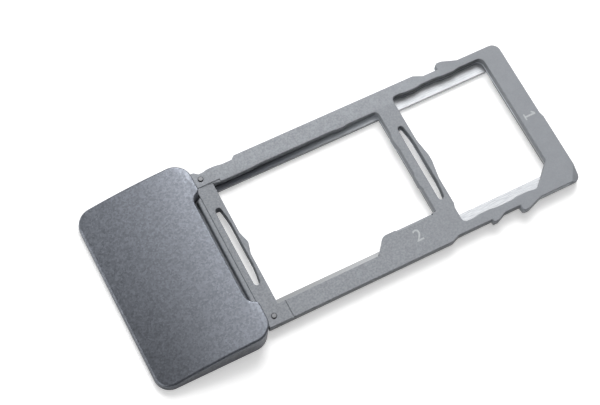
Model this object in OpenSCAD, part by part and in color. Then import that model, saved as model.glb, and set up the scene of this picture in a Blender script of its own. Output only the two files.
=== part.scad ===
// Card tray of a phone: a moulded frame with two card windows, on a stamped steel plate,
// with a painted end cover fixed on by a tongue and two pins.
// +X runs from the cover to the tip that goes into the phone first, +Z is up,
// and the origin is at the middle of the underside.

/* [Card seats] */
// Length of the memory card's seat, along the tray
memory_seat_l = 15.2; // [14.8:0.1:15.8]
// Width of the memory card's seat, across the tray
memory_seat_w = 11.4; // [11.2:0.1:11.6]
// Width that the tab leaves for the card's narrow end
memory_neck_w = 10.05; // [9.8:0.05:10.3]
// Distance from the seat's cover end to the foot of the tab
tab_x = 9.15; // [8.5:0.05:10]
// Length of the tab's sloping end
tab_slope_l = 1.25; // [0.6:0.05:1.6]
// Length of the sim card's seat, along the tray
sim_seat_l = 8.83; // [8.6:0.01:9.2]
// Width of the sim card's seat, across the tray
sim_seat_w = 12.5; // [12.3:0.1:12.6]
// How far the sim card's seat lies off the tray's middle line
sim_seat_shift = 0.05; // [0:0.01:0.1]
// Leg of the sloping corner that keys the sim card
sim_key = 1.85; // [1.2:0.05:2.2]
// Radius of the round corners of the seats
seat_corner_r = 0.4; // [0.2:0.05:0.5]
// Depth of the relief beside the sim card's square corner
corner_relief_d = 0.13; // [0.08:0.01:0.2]
// Length of that relief
corner_relief_l = 1.65; // [1:0.05:2]
// Height of the pads that the cards lie against
pad_h = 0.1; // [0.06:0.01:0.15]
// Length of each pad in the sim card's seat
pad_l = 2.1; // [1.6:0.1:2.4]
// Length of the pads at the memory card's narrow end
end_pad_l = 1.5; // [1:0.1:2]

/* [Frame] */
// Width of the rails beside the sim card's seat
rail_w = 1.05; // [0.9:0.05:1.3]
// Thickness of the frame, with the plate under it
frame_t = 1.1; // [1:0.05:1.4]
// Width of the bar beside the cover
cover_bar_w = 1.5; // [1.4:0.05:1.8]
// Width of the bar between the two windows
middle_bar_w = 1.71; // [1.55:0.01:2]
// Width of the bar at the tip
tip_bar_w = 1.83; // [1.5:0.01:2.2]
// How far the tip's leading half stands out from the other half
tip_step = 0.12; // [0.05:0.01:0.2]
// How far the step lies off the tray's middle line
tip_step_y = 0.35; // [0:0.05:1]
// Radius of the frame's trailing corner at the tip
tip_corner_r = 0.75; // [0.5:0.05:1]
// Radius of its leading corner
lead_corner_r = 0.55; // [0.4:0.05:0.8]
// Length of the sloping facet at the leading corner, along the tip
lead_in_l = 1.5; // [1.2:0.05:1.8]
// Length of that facet along the rail
lead_in_w = 0.95; // [0.8:0.05:1.1]
// How far the rails step in where they are relieved
relief = 0.28; // [0.15:0.01:0.35]
// Depth of the fine mould lines in the frame's top
mould_line_d = 0.07; // [0.04:0.01:0.09]
// Width of the fine mould lines
mould_line_w = 0.13; // [0.08:0.01:0.16]

/* [Springs] */
// Width of the slots that free the spring arms
slot_w = 0.66; // [0.5:0.02:0.72]
// How much narrower the slots are at their ends
slot_taper = 0.16; // [0.05:0.01:0.2]
// Length over which they narrow
slot_taper_l = 1.4; // [0.8:0.1:2]
// Length of the slots
slot_l = 7.25; // [6:0.05:8]
// Thickness of the spring arms
arm_t = 0.28; // [0.22:0.01:0.36]
// Height of the nub in the middle of each arm
nub_h = 0.26; // [0.15:0.01:0.35]
// Length of the nub's foot on the cover's side
memory_nub_l = 2; // [1.2:0.1:2.5]
// Length of the nub's foot between the windows
sim_nub_l = 3.8; // [2:0.1:4]

/* [Detents] */
// Distance from the tip to the hooks' front faces
hook_x = 5.95; // [5:0.05:6.5]
// How far the hooks stand out past the rails
hook_h = 0.2; // [0.1:0.01:0.25]
// Length of the hooks' backs
hook_back_l = 1.2; // [0.9:0.05:1.6]
// Depth of the notches in front of the hooks
notch_d = 0.36; // [0.2:0.01:0.4]
// Length of the notches' floors
notch_l = 1.3; // [1:0.05:1.6]
// Length of the slope into each notch
notch_slope_l = 0.8; // [0.5:0.05:1.2]

/* [Support plate] */
// Thickness of the steel plate
plate_t = 0.35; // [0.25:0.01:0.4]
// How far the ledges reach under the memory card
memory_ledge_w = 0.48; // [0.3:0.02:0.6]
// How far the plate's ledges reach under the sim card
sim_ledge_w = 1.03; // [0.8:0.01:1.2]
// Distance from the rails' faces to the plate's edges
plate_inset = 0.7; // [0.6:0.05:0.8]
// Width of the plate's end strip, under the tip bar
plate_tip_w = 1.32; // [0.9:0.02:1.4]
// How far the plate's edges lie back from the bars' walls
plate_step = 0.03; // [0.02:0.01:0.06]
// Thickness of the moulding's skin on the memory card's ledges
ledge_skin_t = 0.12; // [0.08:0.01:0.15]

/* [Cover] */
// Length of the cover, along the tray
cover_l = 9.78; // [8:0.02:12]
// How far the cover stands out past each rail
cover_overhang = 0.85; // [0.5:0.05:1.5]
// Thickness of the cover at its inner face
cover_inner_t = 2.3; // [2:0.05:2.8]
// Thickness of the cover at its outer edge
cover_outer_t = 0.62; // [0.5:0.02:1]
// Radius of the cover's curved top
cover_top_r = 32; // [25:1:60]
// Corner radius at the cover's outer edge
cover_outer_r = 1.3; // [0.8:0.05:1.6]
// Corner radius at the cover's inner face
cover_inner_r = 1.5; // [0.8:0.05:1.7]
// Radius of the cover's top edges
cover_edge_r = 0.3; // [0.15:0.05:0.4]
// Length of the straight floor of the notch in the cover's inner face
cover_notch_l = 8.66; // [8.4:0.02:9]
// Depth of the notch
cover_notch_d = 0.8; // [0.7:0.05:0.9]
// Radius of the notch's inner corners
cover_notch_r = 0.8; // [0.7:0.05:0.9]
// Radius at the notch's mouth
cover_mouth_r = 0.4; // [0.3:0.05:0.5]
// Gap between the cover and the frame
cover_gap = 0.03; // [0.02:0.01:0.06]

/* [Cover fixing] */
// Reach of the tongue into the cover
tongue_l = 3; // [2.6:0.1:4]
// Room beside the tongue, up to the cover's lugs
tongue_side_gap = 0.42; // [0.3:0.02:0.6]
// How far the tongue's top lies under the frame's top
tongue_drop = 0.5; // [0.4:0.05:0.6]
// Width of the collar that stands in the cover's notch
collar_w = 0.37; // [0.25:0.01:0.5]
// Distance along the frame from the collar's ends to the ends of the notch's mouth
collar_end_gap = 0.4; // [0.3:0.05:0.6]
// How far the collar's top lies under the frame's top
collar_drop = 0.05; // [0.03:0.01:0.1]
// Radius of the collar's corners
collar_r = 0.3; // [0.1:0.05:0.35]
// Radius of the two fixing pins
pin_r = 0.22; // [0.18:0.01:0.26]
// Distance from the frame's end to the pins
pin_x = 0.74; // [0.6:0.02:0.9]
// Distance from the frame's sides to the pins
pin_y = 0.78; // [0.7:0.02:0.85]
// How far the pins stand up past the frame
pin_proud = 0.1; // [0.05:0.01:0.2]
// Length of the cover's lugs, which the pins pass through
lug_l = 1.15; // [1.1:0.05:1.3]
// Width of the lugs
lug_w = 0.8; // [0.7:0.05:0.85]

/* [Hidden] */

$fn = 96;
// A cut runs past the face it opens by this much
past = 0.2;

// Places along the tray, from the cover end of the memory card's seat
frame_x0 = -cover_bar_w;
sim_x0 = memory_seat_l + middle_bar_w;
sim_x1 = sim_x0 + sim_seat_l;
tip_x = sim_x1 + tip_bar_w;
lead_x = tip_x + tip_step;
cover_x1 = frame_x0 - cover_gap;
cover_x0 = cover_x1 - cover_l;
middle_x = (cover_x0 + lead_x) / 2;

// Places across the tray, from its middle line
frame_w = sim_seat_w + 2 * rail_w;
rail_y = frame_w / 2;
cover_w = frame_w + 2 * cover_overhang;
relief_y = rail_y - relief;
tab_y = memory_neck_w - memory_seat_w / 2;
left_y = sim_seat_shift + sim_seat_w / 2;
right_y = sim_seat_shift - sim_seat_w / 2;
pin_rail_y = rail_y - pin_y;
memory_ledge_y = memory_seat_w / 2 - memory_ledge_w;
sim_ledge_y = sim_seat_w / 2 - sim_ledge_w;
plate_y = rail_y - plate_inset;
tongue_w = 2 * (pin_rail_y - lug_w / 2 - tongue_side_gap);

// Heights and thicknesses
tongue_top = frame_t - tongue_drop;
mould_t = frame_t - plate_t;
lug_t = plate_t - cover_gap;

// Each end of the cover's notch turns out and back, by this angle, to the end of its mouth
notch_turn = acos(1 - cover_notch_d / (cover_notch_r + cover_mouth_r));
notch_mouth_y = cover_notch_l / 2 + (cover_notch_r + cover_mouth_r) * sin(notch_turn);

// The rails' relief beside the cover
shoulder_l = 0.45;
shoulder_slope_l = 0.35;
neck_x = 2.3;
neck_slope_l = 0.3;
neck_swell = 0.1;
// The stop beside the notch on the leading rail
stop_l = 0.45;
stop_slope_l = 0.05;
rail_step_slope_l = 0.65;

// The cover's top is an arc from the outer edge to the inner face
cover_chord = norm([cover_l, cover_inner_t - cover_outer_t]);
cover_rise = sqrt(pow(cover_top_r, 2) - pow(cover_chord / 2, 2)) / cover_chord;
arc_x = (cover_x0 + cover_x1) / 2 + cover_rise * (cover_inner_t - cover_outer_t);
arc_z = (cover_inner_t + cover_outer_t) / 2 - cover_rise * cover_l;

// What a round corner takes off a square one: the corner at the origin, the shape at -X and -Y
module corner_trim(r) {
    translate([-r, -r])
        difference() {
            square(r + past);
            circle(r);
        }
}

// A slot with round ends along Y, straight at -X and bowed towards the arm at X = 0
module slot() {
    end_r = (slot_w - slot_taper) / 2;
    end_y = slot_l / 2 - end_r;
    polygon([
        [-slot_w, -end_y],
        [-slot_taper, -end_y],
        [-slot_taper / 3, -end_y + slot_taper_l / 2],
        [0, -end_y + slot_taper_l],
        [0, end_y - slot_taper_l],
        [-slot_taper / 3, end_y - slot_taper_l / 2],
        [-slot_taper, end_y],
        [-slot_w, end_y]
    ]);
    for (side = [-1, 1])
        translate([end_r - slot_w, side * end_y])
            circle(end_r);
}

// One rail's face past the relief, up to the tip: notch, hook and plain run
function detent_points() = let(x = tip_x - hook_x, hook_y = rail_y + hook_h) [
    [x - notch_l - notch_slope_l, rail_y],
    [x - notch_l, rail_y - notch_d],
    [x + 0.12, rail_y - notch_d],
    [x + 0.16, hook_y - 0.12],
    [x + 0.32, hook_y],
    [x + 0.75, hook_y - 0.01],
    [x + 0.85 + hook_back_l, relief_y]
];

// The left rail's face, from the cover to the tip
function left_points() = concat([
    [frame_x0, rail_y],
    [frame_x0 + shoulder_l, rail_y],
    [frame_x0 + shoulder_l + shoulder_slope_l, relief_y],
    [-0.4, relief_y],
    [0.1, relief_y + neck_swell],
    [0.8, relief_y + neck_swell],
    [1.4, relief_y],
    [neck_x, relief_y],
    [neck_x + neck_slope_l, rail_y]
], detent_points(), [[tip_x, relief_y]]);

// The right rail's face, with Y reversed
function right_points() = let(x = tip_x - hook_x - notch_l - notch_slope_l) concat([
    [frame_x0, rail_y],
    [memory_seat_l, rail_y],
    [memory_seat_l + rail_step_slope_l, relief_y],
    [x - stop_l - stop_slope_l, relief_y],
    [x - stop_l, rail_y]
], detent_points(), [[lead_x, relief_y]]);

module frame_outline() {
    step_slope_l = 0.4;
    difference() {
        union() {
            polygon(concat([[frame_x0, 0]], left_points(), [[tip_x, 0]]));
            polygon(concat([[frame_x0, 0]], [for (p = right_points()) [p[0], -p[1]]],
                [[lead_x, -tip_step_y - step_slope_l], [tip_x, -tip_step_y], [tip_x, 0]]));
        }
        translate([tip_x, relief_y])
            corner_trim(tip_corner_r);
        translate([lead_x, -relief_y])
            mirror([0, 1])
                corner_trim(lead_corner_r);
    }
}

// The memory card's seat, less the tab, the pads and the spring's nub
module memory_window() {
    end_pad_space = 2;
    difference() {
        translate([0, -memory_seat_w / 2])
            square([memory_seat_l, memory_seat_w]);
        polygon([
            [tab_x, -rail_y],
            [tab_x, -memory_seat_w / 2 + 0.1],
            [tab_x + 0.25, -memory_seat_w / 2 + 0.3],
            [tab_x + tab_slope_l - 0.25, -tab_y - 0.12],
            [tab_x + tab_slope_l, -tab_y],
            [memory_seat_l + past, -tab_y],
            [memory_seat_l + past, -rail_y]
        ]);
        translate([memory_seat_l, memory_seat_w / 2])
            corner_trim(seat_corner_r);
        for (side = [-1, 1])
            translate([memory_seat_l, memory_seat_w / 2 - memory_neck_w / 2 + side * end_pad_space])
                rotate(90)
                    pad(end_pad_l, pad_h);
        for (share = [[0.14, 0.29], [0.77, 0.09]])
            translate([share[0] * memory_seat_l, memory_seat_w / 2])
                mirror([0, 1])
                    pad(share[1] * memory_seat_l, 0.7 * pad_h);
        nub(memory_nub_l, 0.2);
    }
}

// The sim card's seat, less its keyed corner, the pads and the spring's nub
module sim_window() {
    relief_slope_l = 0.4;
    difference() {
        translate([sim_x0, right_y])
            square([sim_seat_l, sim_seat_w]);
        translate([sim_x1, left_y])
            corner_trim(seat_corner_r * 1.4);
        for (side = [0, 1])
            translate([sim_x0, side ? left_y : right_y])
                mirror([1, 0])
                    mirror([0, 1 - side])
                        corner_trim(seat_corner_r);
        polygon([
            [sim_x1 - sim_key, right_y - past],
            [sim_x1 - sim_key, right_y],
            [sim_x1, right_y + sim_key],
            [sim_x1 + past, right_y + sim_key],
            [sim_x1 + past, right_y - past]
        ]);
        for (x = [0.21, 0.62])
            translate([sim_x0 + x * sim_seat_l, 0]) {
                translate([0, right_y])
                    pad(pad_l, pad_h);
                translate([0, left_y])
                    mirror([0, 1])
                        pad(pad_l, pad_h);
            }
        translate([sim_x0, sim_seat_shift])
            nub(sim_nub_l, 0.6);
    }
    polygon([
        [sim_x0 + past, right_y + seat_corner_r],
        [sim_x0 - corner_relief_d, right_y + seat_corner_r],
        [sim_x0 - corner_relief_d, right_y + corner_relief_l - relief_slope_l / 2],
        [sim_x0, right_y + corner_relief_l + relief_slope_l / 2],
        [sim_x0 + past, right_y + corner_relief_l + relief_slope_l / 2]
    ]);
    translate([sim_x0 - corner_relief_d + seat_corner_r, right_y + seat_corner_r])
        intersection() {
            circle(seat_corner_r);
            translate([-seat_corner_r, -seat_corner_r])
                square(seat_corner_r);
        }
}

// A shallow pad on a seat's side, which the card's edge lies against
module pad(l, h) {
    slope_l = l / 4;
    polygon([
        [-l / 2, -past],
        [-l / 2, 0],
        [slope_l - l / 2, h],
        [l / 2 - slope_l, h],
        [l / 2, 0],
        [l / 2, -past]
    ]);
}

// The blunt nub in the middle of a spring arm
module nub(l, flat_l) {
    polygon([
        [-past, -l / 2],
        [0, -l / 2],
        [nub_h, -flat_l / 2],
        [nub_h, flat_l / 2],
        [0, l / 2],
        [-past, l / 2]
    ]);
}

// Outline of the steel plate: two windows with a bar between them, and a tongue into the cover
module plate_outline() {
    ring_x0 = frame_x0 + lug_l + cover_gap;
    far_x = sim_x1 + plate_step;
    spring_x = arm_t + slot_w + plate_step;
    spring_y = slot_l / 2 + plate_step;
    difference() {
        union() {
            translate([ring_x0, -plate_y])
                square([far_x + plate_tip_w - ring_x0, 2 * plate_y]);
            translate([frame_x0 - tongue_l, -tongue_w / 2])
                square([tongue_l + cover_bar_w, tongue_w]);
        }
        translate([0, -memory_ledge_y])
            square([memory_seat_l + plate_step, 2 * memory_ledge_y]);
        for (x = [0, sim_x0])
            translate([x - spring_x, -spring_y])
                square([spring_x + past, 2 * spring_y]);
        difference() {
            translate([sim_x0, -sim_ledge_y])
                square([far_x - sim_x0, 2 * sim_ledge_y]);
            polygon([
                [far_x - sim_key, right_y],
                [far_x, right_y + sim_key],
                [far_x + past, right_y + sim_key],
                [far_x + past, right_y]
            ]);
        }
    }
}

// One shaft through both lugs and shoulders
module pin_shaft(side, r, z0, z1) {
    translate([frame_x0 + pin_x, side * pin_rail_y, z0])
        cylinder(r = r, h = z1 - z0);
}

// The skin of the moulding on the plate's ledges under the memory card's long sides
module ledge_skin() {
    for (side = [0, 1])
        mirror([0, side])
            translate([-past, memory_ledge_y, 0])
                cube([memory_seat_l + 2 * past, memory_ledge_w + past, ledge_skin_t]);
}

// The collar between the frame and the cover, with room round it in the cover's notch
module collar_outline() {
    half_w = notch_mouth_y - collar_end_gap;
    difference() {
        translate([frame_x0 - collar_w, -half_w])
            square([collar_w + past, 2 * half_w]);
        for (side = [0, 1])
            mirror([0, side])
                translate([frame_x0 - collar_w, half_w])
                    mirror([1, 0])
                        corner_trim(collar_r);
    }
}

// The sloping facet at the tip's leading corner
module lead_in() {
    slope = 40;
    reach = 2 * lead_in_l;
    translate([lead_x, lead_in_l - relief_y, frame_t])
        rotate([0, slope, -atan2(lead_in_w, lead_in_l)])
            translate([0, -reach, 0])
                cube([reach, 2 * reach, reach]);
}

// The sloping lip along the tab
module tab_lip() {
    lip_w = 0.22;
    lip_d = 0.3;
    lip_x0 = tab_x + tab_slope_l + 1;
    translate([lip_x0, -tab_y, frame_t])
        rotate([90, 0, 90])
            linear_extrude(memory_seat_l - seat_corner_r - lip_x0)
                polygon([[-lip_w, 0], [-lip_w, past], [past, past], [past, -lip_d], [0, -lip_d]]);
}

// Fine lines that the mould's inserts leave in the frame's top
module mould_lines() {
    line_x = 0.53;
    line_y = memory_seat_w / 2 + 0.08;
    translate([frame_x0 - past, line_y, frame_t - mould_line_d])
        cube([line_x - frame_x0 + past + mould_line_w, mould_line_w, mould_line_d + past]);
    translate([line_x, memory_seat_w / 2 - past, frame_t - mould_line_d])
        cube([mould_line_w, line_y - memory_seat_w / 2 + past + mould_line_w, mould_line_d + past]);
    translate([line_x, -rail_y - past, frame_t - mould_line_d])
        cube([mould_line_w, rail_y + past - memory_seat_w / 2 + past, mould_line_d + past]);
}

module tray_frame() color([0.6, 0.61, 0.62])
    translate([-middle_x, 0, 0])
        difference() {
            translate([0, 0, plate_t]) {
                linear_extrude(mould_t)
                    difference() {
                        frame_outline();
                        memory_window();
                        sim_window();
                        for (x = [0, sim_x0])
                            translate([x - arm_t, 0])
                                slot();
                    }
                ledge_skin();
                linear_extrude(mould_t - collar_drop)
                    collar_outline();
                translate([frame_x0 - tongue_l, -tongue_w / 2, 0])
                    cube([tongue_l + past, tongue_w, mould_t - tongue_drop]);
            }
            for (side = [-1, 1])
                pin_shaft(side, pin_r, 0, frame_t + past);
            lead_in();
            tab_lip();
            mould_lines();
        }

module support_plate() color([0.86, 0.88, 0.9])
    translate([-middle_x, 0, 0])
        linear_extrude(plate_t)
            plate_outline();

module cover_outline() {
    half_w = cover_w / 2;
    difference() {
        translate([cover_x0, -half_w])
            square([cover_l, cover_w]);
        for (side = [0, 1])
            mirror([0, side]) {
                translate([cover_x1, half_w])
                    corner_trim(cover_inner_r);
                translate([cover_x0, half_w])
                    mirror([1, 0])
                        corner_trim(cover_outer_r);
            }
        cover_notch();
    }
}

// The notch in the cover's inner face, whose ends swing out to the face in a double curve
module cover_notch() {
    floor_x = cover_x1 - cover_notch_d;
    floor_y = cover_notch_l / 2;
    translate([floor_x, -floor_y])
        square([cover_notch_d + past, cover_notch_l]);
    for (side = [0, 1])
        mirror([0, side]) {
            translate([floor_x + cover_notch_r, floor_y])
                circle(cover_notch_r);
            difference() {
                polygon([
                    [floor_x + cover_notch_r, floor_y],
                    [cover_x1 - cover_mouth_r, notch_mouth_y],
                    [cover_x1 + past, notch_mouth_y],
                    [cover_x1 + past, floor_y]
                ]);
                translate([cover_x1 - cover_mouth_r, notch_mouth_y])
                    circle(cover_mouth_r);
            }
        }
}

// A thick disc on the arc's axis, whose rim is the curved top with its two side edges rounded
module cover_crown() {
    r = cover_edge_r;
    half_w = cover_w / 2;
    translate([arc_x, 0, arc_z])
        rotate([90, 0, 0])
            rotate_extrude($fn = 360) {
                translate([0, r - half_w])
                    square([cover_top_r, cover_w - 2 * r]);
                translate([0, -half_w])
                    square([cover_top_r - r, cover_w]);
                for (side = [-1, 1])
                    translate([cover_top_r - r, side * (half_w - r)])
                        circle(r);
            }
}

// What rounding the cover's outer edge takes off, from the tangent to the arc to the upright face
module cover_outer_round() {
    r = cover_edge_r;
    x = cover_x0 + r;
    z = arc_z + sqrt(pow(cover_top_r - r, 2) - pow(x - arc_x, 2));
    lean = atan2(z - arc_z, x - arc_x);
    translate([x, cover_w / 2 + past, z])
        rotate([90, 0, 0])
            linear_extrude(cover_w + 2 * past)
                difference() {
                    polygon([[0, 0], 3 * r * [cos(lean), sin(lean)], [-3 * r, 3 * r], [-3 * r, 0]]);
                    circle(r);
                }
}

module cover() color([0.36, 0.38, 0.42])
    translate([-middle_x, 0, 0])
        difference() {
            union() {
                difference() {
                    intersection() {
                        linear_extrude(cover_inner_t + 1)
                            cover_outline();
                        cover_crown();
                    }
                    cover_outer_round();
                    translate([frame_x0 - tongue_l - cover_gap, -tongue_w / 2 - cover_gap, -past])
                        cube([tongue_l + past, tongue_w + 2 * cover_gap, tongue_top + cover_gap + past]);
                }
                for (side = [-1, 1])
                    translate([cover_x1 - past, side * pin_rail_y - lug_w / 2, 0])
                        cube([frame_x0 + lug_l - cover_x1 + past, lug_w, lug_t]);
            }
            for (side = [-1, 1])
                pin_shaft(side, pin_r, -past, lug_t + past);
        }

// One pin, from the underside to its blunt head
module pin(side) color([0.66, 0.67, 0.68])
    translate([-middle_x, 0, 0]) {
        head_h = 0.05;
        pin_shaft(side, pin_r, 0, frame_t + pin_proud - head_h);
        translate([frame_x0 + pin_x, side * pin_rail_y, frame_t + pin_proud - head_h])
            cylinder(r1 = pin_r, r2 = pin_r - head_h, h = head_h);
    }

module left_pin() pin(1);

module right_pin() pin(-1);

cover();
tray_frame();
support_plate();
left_pin();
right_pin();
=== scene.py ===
import math

import bmesh
import bpy
from mathutils import Matrix, Vector


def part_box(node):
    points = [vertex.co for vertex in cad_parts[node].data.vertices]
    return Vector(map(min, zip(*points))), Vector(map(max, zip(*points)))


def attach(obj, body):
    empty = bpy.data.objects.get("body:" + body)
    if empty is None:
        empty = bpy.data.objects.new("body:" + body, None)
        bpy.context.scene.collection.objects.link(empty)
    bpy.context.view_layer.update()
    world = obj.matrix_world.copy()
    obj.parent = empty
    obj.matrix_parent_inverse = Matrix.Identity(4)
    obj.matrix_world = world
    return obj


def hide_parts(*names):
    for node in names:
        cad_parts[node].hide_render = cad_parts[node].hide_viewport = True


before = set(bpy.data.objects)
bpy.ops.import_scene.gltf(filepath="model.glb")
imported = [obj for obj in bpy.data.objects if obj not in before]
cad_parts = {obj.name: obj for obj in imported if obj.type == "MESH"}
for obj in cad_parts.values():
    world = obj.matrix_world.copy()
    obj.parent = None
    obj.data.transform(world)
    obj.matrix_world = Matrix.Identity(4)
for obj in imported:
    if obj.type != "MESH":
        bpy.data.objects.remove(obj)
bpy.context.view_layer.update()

# Support plate: a stamped sheet of spring steel that lies under the frame from the tip to the cover.
# Its inner edges stand out into both windows as the ledges that carry the cards. Beside the sim card their
# cut edge is painted lighter, a painted reflection.
# It is rolled along the tray, so its finish is drawn out along X, and its cut edges are a little rounded.

MM = 0.001
weld_gap = 0.0001 * MM
flat_within = math.radians(0.5)
rounded_from = math.radians(40)
smooth_up_to = math.radians(32)


def welded(node):
    """The CAD node's mesh as a closed bmesh, each point there once."""
    solid = bmesh.new()
    solid.from_mesh(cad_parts[node].data)
    bmesh.ops.remove_doubles(solid, verts=solid.verts, dist=weld_gap)
    return solid


def whole_faced(node):
    """The CAD node's solid with each flat face in one piece."""
    solid = welded(node)
    bmesh.ops.dissolve_limit(solid, angle_limit=flat_within, verts=solid.verts, edges=solid.edges)
    return solid


def round_edges(solid, width, picks):
    """Rounds the sharp edges chosen by picks(edge)."""
    edges = [e for e in solid.edges if e.calc_face_angle(0) > rounded_from and picks(e)]
    bmesh.ops.bevel(
        solid, geom=edges, offset=width, segments=3, profile=0.5, affect="EDGES", clamp_overlap=False
    )


def dressed(solid, name, node):
    """The solid as a new piece that stands for a CAD node, smooth up to its sharp edges."""
    for face in solid.faces:
        face.smooth = True
    for edge in solid.edges:
        edge.smooth = edge.calc_face_angle(0) < smooth_up_to
    mesh = bpy.data.meshes.new(name)
    solid.to_mesh(mesh)
    solid.free()
    piece = bpy.data.objects.new(name, mesh)
    bpy.context.scene.collection.objects.link(piece)
    weighted = piece.modifiers.new("weighted_normals", "WEIGHTED_NORMAL")
    weighted.keep_sharp = True
    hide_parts(node)
    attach(piece, "root")
    return piece


def finish(name):
    """A new material: its node tree, its shader and the object coordinates that its grain follows."""
    material = bpy.data.materials.new(name)
    material.use_nodes = True
    tree = material.node_tree
    shader = tree.nodes["Principled BSDF"]
    place = tree.nodes.new("ShaderNodeTexCoord").outputs["Object"]
    return material, tree, shader, place


def grain(tree, place, size, stretch=(1, 1, 1), detail=2.0):
    """Noise from 0 to 1 whose lumps are about that size in metres."""
    mapping = tree.nodes.new("ShaderNodeMapping")
    mapping.inputs["Scale"].default_value = [1 / (size * s) for s in stretch]
    noise = tree.nodes.new("ShaderNodeTexNoise")
    noise.inputs["Scale"].default_value = 1.0
    noise.inputs["Detail"].default_value = detail
    tree.links.new(place, mapping.inputs["Vector"])
    tree.links.new(mapping.outputs["Vector"], noise.inputs["Vector"])
    return noise.outputs["Fac"]


def between(tree, factor, low, high, start=0.3, end=0.7):
    """A colour that runs from low to high as the factor goes from start to end."""
    ramp = tree.nodes.new("ShaderNodeValToRGB")
    ramp.color_ramp.elements[0].position = start
    ramp.color_ramp.elements[0].color = (*low, 1)
    ramp.color_ramp.elements[1].position = end
    ramp.color_ramp.elements[1].color = (*high, 1)
    tree.links.new(factor, ramp.inputs["Fac"])
    return ramp.outputs["Color"]


def level(tree, factor, low, high, start=0.3, end=0.7):
    """A roughness or a grey tint that runs from low to high in the same way."""
    return between(tree, factor, (low,) * 3, (high,) * 3, start, end)


def along(tree, place, axis, start, end):
    """A mask that runs from 0 to 1 as that coordinate goes from start to end."""
    parts = tree.nodes.new("ShaderNodeSeparateXYZ")
    tree.links.new(place, parts.inputs["Vector"])
    span = tree.nodes.new("ShaderNodeMapRange")
    span.interpolation_type = "SMOOTHSTEP"
    span.inputs["From Min"].default_value = start
    span.inputs["From Max"].default_value = end
    tree.links.new(parts.outputs[axis], span.inputs["Value"])
    return span.outputs["Result"]


def overlap(tree, mask, *others):
    """A mask that is 1 only where all of them are."""
    for other in others:
        times = tree.nodes.new("ShaderNodeMath")
        times.operation = "MULTIPLY"
        tree.links.new(mask, times.inputs[0])
        tree.links.new(other, times.inputs[1])
        mask = times.outputs["Value"]
    return mask


def masked(tree, mask, a, b):
    """Colour a where the mask is 0 and colour b where it is 1."""
    mix = tree.nodes.new("ShaderNodeMix")
    mix.data_type = "RGBA"
    tree.links.new(mask, mix.inputs["Factor"])
    tree.links.new(a, mix.inputs["A"])
    tree.links.new(b, mix.inputs["B"])
    return mix.outputs["Result"]


def relief(tree, shader, heights, depth):
    """Bumps of that depth in metres where heights runs from 0 to 1."""
    bump = tree.nodes.new("ShaderNodeBump")
    bump.inputs["Distance"].default_value = depth
    tree.links.new(heights, bump.inputs["Height"])
    tree.links.new(bump.outputs["Normal"], shader.inputs["Normal"])


rolled_steel, tree, shader, place = finish("rolled_steel")
streaks = grain(tree, place, 0.06 * MM, stretch=(14, 1, 1), detail=3)
rolled_face = between(tree, streaks, (0.26, 0.27, 0.285), (0.48, 0.49, 0.505))
# Beside the sim card the steel below the ledge top, underside included, is painted lighter: a painted
# reflection.
cut_face_painted_reflection = between(tree, streaks, (0.66, 0.67, 0.69), (0.84, 0.85, 0.87))
at_sim_card = along(tree, place, "X", 7 * MM, 9 * MM)
on_left_side = along(tree, place, "Y", 4 * MM, 4.5 * MM)
under_top_face = along(tree, place, "Z", 0.33 * MM, 0.29 * MM)
cut_edge_painted_reflection = overlap(tree, at_sim_card, on_left_side, under_top_face)
tree.links.new(masked(tree, cut_edge_painted_reflection, rolled_face, cut_face_painted_reflection), shader.inputs["Base Color"])
tree.links.new(level(tree, streaks, 0.46, 0.58), shader.inputs["Roughness"])
shader.inputs["Metallic"].default_value = 1.0
relief(tree, shader, streaks, 0.002 * MM)

plate_edge_round = 0.07 * MM
plate_solid = whole_faced("support_plate")
round_edges(plate_solid, plate_edge_round, lambda edge: edge.is_convex)
plate = dressed(plate_solid, "steel_plate", "support_plate")
plate.data.materials.append(rolled_steel)

# Frame: one moulding in matt grey plastic, shot onto the plate, with both card windows and both spring arms.
# Its top edges keep a small radius from the mould, its face has the fine grain of a filled nylon, and it is
# painted lighter on the left rail and the tip's right side, a painted sheen and painted light. On the memory
# card's ledges it is a thin skin, with painted shade and light along it.

frame_low, frame_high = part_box("tray_frame")
frame_tongue_l = 3 * MM
bar_face_x = frame_low.x + frame_tongue_l
collar_top = frame_high.z - 0.05 * MM
same_height = 0.001 * MM
least_wall_h = 0.2 * MM


def rim_edge(edge, top):
    """True on a top outline at that height, where the wall below is tall enough to round."""
    if not edge.is_convex or any(abs(v.co.z - top) > same_height for v in edge.verts):
        return False
    walls = [f for f in edge.link_faces if abs(f.normal.z) < 0.2]
    return len(walls) == 1 and min(v.co.z for v in walls[0].verts) < top - least_wall_h


def collar_edge(edge):
    """True on the collar's top edge that faces the cover."""
    return rim_edge(edge, collar_top) and all(v.co.x < bar_face_x - 0.1 * MM for v in edge.verts)


def tinted(tree, colour, tint):
    """A colour multiplied by a tint."""
    mix = tree.nodes.new("ShaderNodeMix")
    mix.data_type = "RGBA"
    mix.blend_type = "MULTIPLY"
    mix.inputs["Factor"].default_value = 1.0
    tree.links.new(colour, mix.inputs["A"])
    tree.links.new(tint, mix.inputs["B"])
    return mix.outputs["Result"]


grey_plastic, tree, shader, place = finish("grey_plastic")
speckle = grain(tree, place, 0.15 * MM, detail=4)
cloud = grain(tree, place, 0.9 * MM, detail=3)
smooth_face = between(tree, speckle, (0.285, 0.300, 0.326), (0.309, 0.326, 0.352))
scuffed_face = between(tree, speckle, (0.241, 0.254, 0.277), (0.353, 0.372, 0.401))
towards_cover = along(tree, place, "X", 16 * MM, 0)
nylon = masked(tree, towards_cover, smooth_face, scuffed_face)
nylon = tinted(tree, nylon, level(tree, cloud, 0.93, 0.99))

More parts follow.
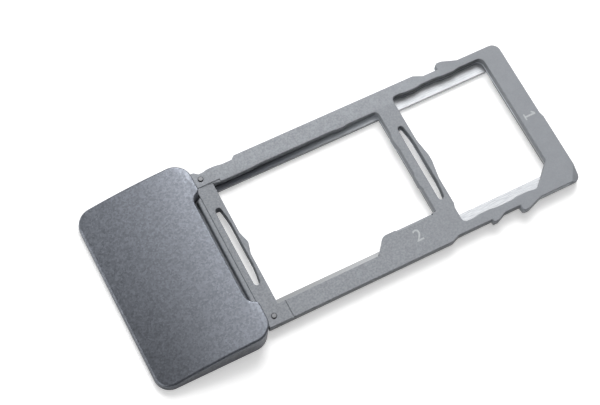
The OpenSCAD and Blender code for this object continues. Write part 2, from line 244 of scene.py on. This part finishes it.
# The left rail short of the hook is painted lighter: a painted sheen where the light glances off it.
left_rail = along(tree, place, "Y", 5.6 * MM, 6.1 * MM)
short_of_hook = along(tree, place, "X", 14.5 * MM, 12.0 * MM)
painted_sheen = tinted(tree, nylon, level(tree, cloud, 1.12, 1.17))
nylon = masked(tree, overlap(tree, left_rail, short_of_hook), nylon, painted_sheen)

# Past the hook the right side's wall is painted about twice as light: painted light, as from the bright
# floor.
past_hook = along(tree, place, "X", 13 * MM, 15 * MM)
short_of_tip = along(tree, place, "X", 18.6 * MM, 18.2 * MM)
right_side = along(tree, place, "Y", -6.6 * MM, -6.75 * MM)
below_top = along(tree, place, "Z", 1.08 * MM, 1.0 * MM)
painted_floor_light = tinted(tree, nylon, level(tree, cloud, 1.95, 2.15))
nylon = masked(tree, overlap(tree, past_hook, short_of_tip, right_side, below_top), nylon, painted_floor_light)

skin_top = 0.55 * MM
skin_fade = 0.03 * MM
in_skin = along(tree, place, "Z", skin_top, skin_top - skin_fade)
# Left skin: painted shade near the cover, painted light towards the middle bar. Right skin: lighter to the
# middle.
left_ledge_run = along(tree, place, "X", -5 * MM, 12 * MM)
right_ledge_run = along(tree, place, "X", -8 * MM, 1 * MM)
left_skin_painted_shade_light = between(tree, left_ledge_run, (0.119, 0.13, 0.152), (0.71, 0.75, 0.80), 0, 1)
right_skin = between(tree, right_ledge_run, (0.35, 0.36, 0.37), (0.5, 0.51, 0.52), 0, 1)
left_half = along(tree, place, "Y", -1 * MM, 1 * MM)
skins = masked(tree, left_half, right_skin, left_skin_painted_shade_light)
tree.links.new(masked(tree, in_skin, nylon, skins), shader.inputs["Base Color"])
tree.links.new(level(tree, speckle, 0.45, 0.58), shader.inputs["Roughness"])
shader.inputs["Specular IOR Level"].default_value = 0.25
relief(tree, shader, speckle, 0.004 * MM)

rim_round = 0.08 * MM
collar_round = 0.16 * MM
moulding_solid = whole_faced("tray_frame")
round_edges(moulding_solid, rim_round, lambda edge: rim_edge(edge, frame_high.z))
round_edges(moulding_solid, collar_round, collar_edge)
moulding = dressed(moulding_solid, "frame_moulding", "tray_frame")
moulding.data.materials.append(grey_plastic)

# Cover: the moulded end that closes the phone's side, thick at its inner face and thinning to its outer edge.
# Painted in dark blue-grey with fine metal flakes, it sits over the frame's tongue and two pins hold it.
# Its top is one arc, and the rim is rounded all the way round, tightest along the inner face and its notch.

cover_low, cover_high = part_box("cover")
cover_solid = welded("cover")
tall_part_z = 1 * MM
inner_face_x = max(v.co.x for v in cover_solid.verts if v.co.z > tall_part_z)
outer_t = 0.62 * MM
crown_r = 32 * MM
run, drop = inner_face_x - cover_low.x, cover_high.z - outer_t
chord = math.hypot(run, drop)
lift = math.sqrt(crown_r**2 - chord**2 / 4) / chord
crown_x = (inner_face_x + cover_low.x) / 2 + lift * drop
crown_z = (cover_high.z + outer_t) / 2 - lift * run
outer_rim_r = 0.2 * MM
inner_rim_r = 0.12 * MM
rim_fade_l = 0.7 * MM
notch_reach = 1.5 * MM
notch_half_l = 6 * MM
rim_steps = 6
crown_strip = 0.3 * MM


def crown_height(x):
    """Height of the arc that runs from the top of the inner face down to the outer edge."""
    return crown_z + math.sqrt(crown_r**2 - (x - crown_x) ** 2)


def rim_radius(spot):
    """Radius of the rim at that point of the outline."""
    behind_face = inner_face_x - spot.x
    if abs(spot.y) < notch_half_l and behind_face < notch_reach:
        return inner_rim_r
    share = min(1, behind_face / rim_fade_l)
    return inner_rim_r + (outer_rim_r - inner_rim_r) * share * share * (3 - 2 * share)


def rim_loop(solid):
    """The vertices round an open rim, counterclockwise from above."""
    start = next(e for e in solid.edges if e.is_boundary)
    loop = [start.verts[0], start.verts[1]]
    while True:
        last, before = loop[-1], loop[-2]
        ways = [e.other_vert(last) for e in last.link_edges if e.is_boundary]
        ahead = next(v for v in ways if v != before)
        if ahead == loop[0]:
            break
        loop.append(ahead)
    area = sum(a.co.xy.cross(b.co.xy) for a, b in zip(loop, loop[1:] + loop[:1]))
    return loop if area > 0 else loop[::-1]


def inset_steps(corners):
    """For each corner of the outline, the step that moves both of its sides in by one unit."""
    steps = []
    for before, here, ahead in zip(corners[-1:] + corners[:-1], corners, corners[1:] + corners[:1]):
        d1, d2 = (here - before).normalized(), (ahead - here).normalized()
        inward = Vector((-d1.y - d2.y, d1.x + d2.x)).normalized()
        steps.append(inward / inward.dot(Vector((-d1.y, d1.x))))
    return steps


def roll_rim(solid, loop):
    """Rolls the walls over into the crown from that loop, and returns the innermost ring."""
    corners = [v.co.xy.copy() for v in loop]
    insets = inset_steps(corners)
    radii = [rim_radius(corner) for corner in corners]
    for vert, radius in zip(loop, radii):
        vert.co.z = crown_height(vert.co.x) - radius
    ring = loop
    for step in range(1, rim_steps + 1):
        turn = math.pi / 2 * step / rim_steps
        ahead = []
        for corner, inset, radius in zip(corners, insets, radii):
            spot = corner + inset * radius * (1 - math.cos(turn))
            height = crown_height(spot.x) - radius * (1 - math.sin(turn))
            ahead.append(solid.verts.new((spot.x, spot.y, height)))
        for k in range(len(ring)):
            n = (k + 1) % len(ring)
            solid.faces.new((ring[k], ring[n], ahead[n], ahead[k]))
        ring = ahead
    return ring


def close_crown(solid, ring):
    """Fills the ring with one face, cuts it into narrow strips across and lays them on the arc."""
    for vert in ring:
        vert.co.z = 0
    cap = [solid.faces.new(ring)]
    for k in range(1, int((inner_face_x - cover_low.x) / crown_strip)):
        cap_edges = list(dict.fromkeys(e for f in cap for e in f.edges))
        cap_verts = list(dict.fromkeys(v for f in cap for v in f.verts))
        cut = bmesh.ops.bisect_plane(
            solid,
            geom=cap + cap_edges + cap_verts,
            dist=weld_gap,
            plane_co=(cover_low.x + k * crown_strip, 0, 0),
            plane_no=(1, 0, 0),
        )
        cap = [g for g in cut["geom"] if isinstance(g, bmesh.types.BMFace)]
    for vert in {v for f in cap for v in f.verts}:
        vert.co.z = crown_height(vert.co.x)


crown = [f for f in cover_solid.faces if f.normal.z > 0.01 and f.calc_center_median().x < inner_face_x]
bmesh.ops.delete(cover_solid, geom=crown, context="FACES")
close_crown(cover_solid, roll_rim(cover_solid, rim_loop(cover_solid)))
bmesh.ops.recalc_face_normals(cover_solid, faces=cover_solid.faces)

flake_paint, tree, shader, place = finish("flake_paint")
flake_size = 0.13 * MM
flakes = tree.nodes.new("ShaderNodeTexVoronoi")
flakes.inputs["Scale"].default_value = 1 / flake_size
tree.links.new(place, flakes.inputs["Vector"])
fleck = tree.nodes.new("ShaderNodeSeparateColor")
tree.links.new(flakes.outputs["Color"], fleck.inputs["Color"])
paint = between(tree, fleck.outputs["Red"], (0.138, 0.149, 0.171), (0.192, 0.206, 0.237), 0.1, 0.95)
haze = grain(tree, place, 0.5 * MM, detail=3)
paint = tinted(tree, paint, level(tree, haze, 0.93, 1.03))
# At the outer end the paint is painted lighter from right to left: a painted light gradient, not the paint's
# tone.
from_right_to_left = along(tree, place, "Y", -9 * MM, 9 * MM)
outer_end = along(tree, place, "X", -12 * MM, -20 * MM)
painted_light_gradient = tinted(tree, paint, level(tree, from_right_to_left, 0.86, 1.5, 0, 1))
tree.links.new(masked(tree, outer_end, paint, painted_light_gradient), shader.inputs["Base Color"])
tree.links.new(level(tree, fleck.outputs["Green"], 0.36, 0.46), shader.inputs["Roughness"])
shader.inputs["Metallic"].default_value = 0.6
relief(tree, shader, grain(tree, place, 0.06 * MM), 0.003 * MM)

end_cover = dressed(cover_solid, "painted_cover", "cover")
end_cover.data.materials.append(flake_paint)

# Pins: two short steel pins through the frame's shoulders and the cover's lugs.
# Their blunt heads stand a little proud of the plastic and are dulled by handling.

dull_steel, tree, shader, place = finish("dull_steel")
scuffs = grain(tree, place, 0.08 * MM, detail=3)
pin_face = between(tree, scuffs, (0.15, 0.155, 0.165), (0.22, 0.225, 0.235))
tree.links.new(pin_face, shader.inputs["Base Color"])
tree.links.new(level(tree, scuffs, 0.38, 0.55), shader.inputs["Roughness"])
shader.inputs["Metallic"].default_value = 0.4
relief(tree, shader, scuffs, 0.003 * MM)
for side in ("left", "right"):
    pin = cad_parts[side + "_pin"]
    pin.data.materials.clear()
    pin.data.materials.append(dull_steel)

# Numbers: a plain 1 on the tip bar beside the sim card's window, and a plain 2 on the right rail beside the
# memory card's window. Each is marked in pale grey ink on the plastic, too thin to feel.

pale_ink, tree, shader, place = finish("pale_ink")
patchy = grain(tree, place, 0.12 * MM, detail=3)
ink_face = between(tree, patchy, (0.40, 0.42, 0.44), (0.54, 0.56, 0.575))
tree.links.new(ink_face, shader.inputs["Base Color"])
tree.links.new(level(tree, patchy, 0.5, 0.62), shader.inputs["Roughness"])
relief(tree, shader, patchy, 0.002 * MM)

ink_t = 0.01 * MM
figure_h = 1.05 * MM
one_outline = (
    (0.00, 0.78),
    (0.22, 1.00),
    (0.37, 1.00),
    (0.37, 0.12),
    (0.57, 0.12),
    (0.57, 0.00),
    (0.02, 0.00),
    (0.02, 0.12),
    (0.22, 0.12),
    (0.22, 0.83),
    (0.08, 0.67),
)
one_centre = (0.28, 0.5)
one = bpy.data.curves.new("number_1", "CURVE")
one.dimensions = "2D"
one.fill_mode = "BOTH"
stroke = one.splines.new("POLY")
stroke.use_cyclic_u = True
stroke.points.add(len(one_outline) - 1)
for point, (across, up) in zip(stroke.points, one_outline):
    point.co = ((across - one_centre[0]) * figure_h, (up - one_centre[1]) * figure_h, 0, 1)

figure_share_of_size = 0.7
two = bpy.data.curves.new("number_2", "FONT")
two.body = "2"
two.size = figure_h / figure_share_of_size
two.align_x = "CENTER"
two.align_y = "CENTER"

for mark, x, y, turn in ((one, 18.47, -0.2, -90), (two, 4.65, -5.6, 0)):
    mark.extrude = ink_t / 2
    mark.materials.append(pale_ink)
    number = bpy.data.objects.new(mark.name, mark)
    number.location = (x * MM, y * MM, frame_high.z + ink_t / 4)
    number.rotation_euler.z = math.radians(turn)
    bpy.context.scene.collection.objects.link(number)
    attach(number, "root")

# Floor, lights and camera: the tray lies on a white sweep under a softbox from the back and a sheet overhead.
# A low light from the left opens the cover's outer end. The floor glows a little, most of all to the eye, so
# that it stays white round a soft shadow.

sweep_half = 2.0
floor_z = -0.01 * MM
floor_corners = [(x * sweep_half, y * sweep_half, floor_z) for x, y in ((-1, -1), (1, -1), (1, 1), (-1, 1))]
floor_mesh = bpy.data.meshes.new("floor")
floor_mesh.from_pydata(floor_corners, [], [(0, 1, 2, 3)])
floor = bpy.data.objects.new("floor", floor_mesh)
bpy.context.scene.collection.objects.link(floor)

white_floor, tree, shader, place = finish("white_floor")
shader.inputs["Base Color"].default_value = (0.78, 0.78, 0.78, 1)
shader.inputs["Roughness"].default_value = 0.9
shader.inputs["Specular IOR Level"].default_value = 0.0
rays = tree.nodes.new("ShaderNodeLightPath")
glow = tree.nodes.new("ShaderNodeEmission")
glow.inputs["Color"].default_value = (1, 1, 1, 1)
strength = None
for ray, share in (("Is Camera Ray", 0.45), ("Is Glossy Ray", 0.2), ("Is Transmission Ray", 0.2)):
    added = tree.nodes.new("ShaderNodeMath")
    added.operation = "MULTIPLY_ADD"
    added.inputs[1].default_value = share
    added.inputs[2].default_value = 0.0
    tree.links.new(rays.outputs[ray], added.inputs[0])
    if strength:
        tree.links.new(strength, added.inputs[2])
    strength = added.outputs["Value"]
tree.links.new(strength, glow.inputs["Strength"])
both = tree.nodes.new("ShaderNodeAddShader")
tree.links.new(shader.outputs["BSDF"], both.inputs[0])
tree.links.new(glow.outputs["Emission"], both.inputs[1])
tree.links.new(both.outputs["Shader"], tree.nodes["Material Output"].inputs["Surface"])
floor_mesh.materials.append(white_floor)

world = bpy.data.worlds.new("studio")
bpy.context.scene.world = world
world.use_nodes = True
sky = world.node_tree.nodes["Background"]
sky.inputs["Color"].default_value = (0.98, 0.99, 1.0, 1)
sky.inputs["Strength"].default_value = 0.015


def soft_light(name, around, above, distance, size, power):
    """A square area lamp on the tray, that many degrees around from X and above the floor."""
    lamp = bpy.data.lights.new(name, "AREA")
    lamp.shape = "SQUARE"
    lamp.size = size
    lamp.energy = power
    azimuth, elevation = math.radians(around), math.radians(above)
    level_part = math.cos(elevation)
    direction = Vector(
        (level_part * math.cos(azimuth), level_part * math.sin(azimuth), math.sin(elevation))
    )
    holder = bpy.data.objects.new(name, lamp)
    holder.location = direction * distance
    holder.rotation_euler = direction.to_track_quat("Z", "Y").to_euler()
    bpy.context.scene.collection.objects.link(holder)


soft_light("back_softbox", 62, 47, 0.5, 0.27, 2.05)
soft_light("overhead_sheet", 50, 66, 0.5, 0.5, 1.15)
soft_light("left_strip", 180, 13, 0.5, 0.36, 1.15)

camera_data = bpy.data.cameras.new("camera")
camera_data.sensor_width = 36
camera_data.lens = 96
camera_data.clip_start = 0.005
camera = bpy.data.objects.new("camera", camera_data)
bpy.context.scene.collection.objects.link(camera)
camera_place = Vector((-33.655, -40.046, 119.993)) * MM
aim = Vector((-2.62, 1.17, 1.1)) * MM
roll = math.radians(10.18)
aimed = (aim - camera_place).to_track_quat("-Z", "Y").to_matrix().to_4x4()
camera.matrix_world = Matrix.Translation(camera_place) @ aimed @ Matrix.Rotation(roll, 4, "Z")
bpy.context.scene.camera = camera
bpy.context.scene.view_settings.view_transform = "Standard"
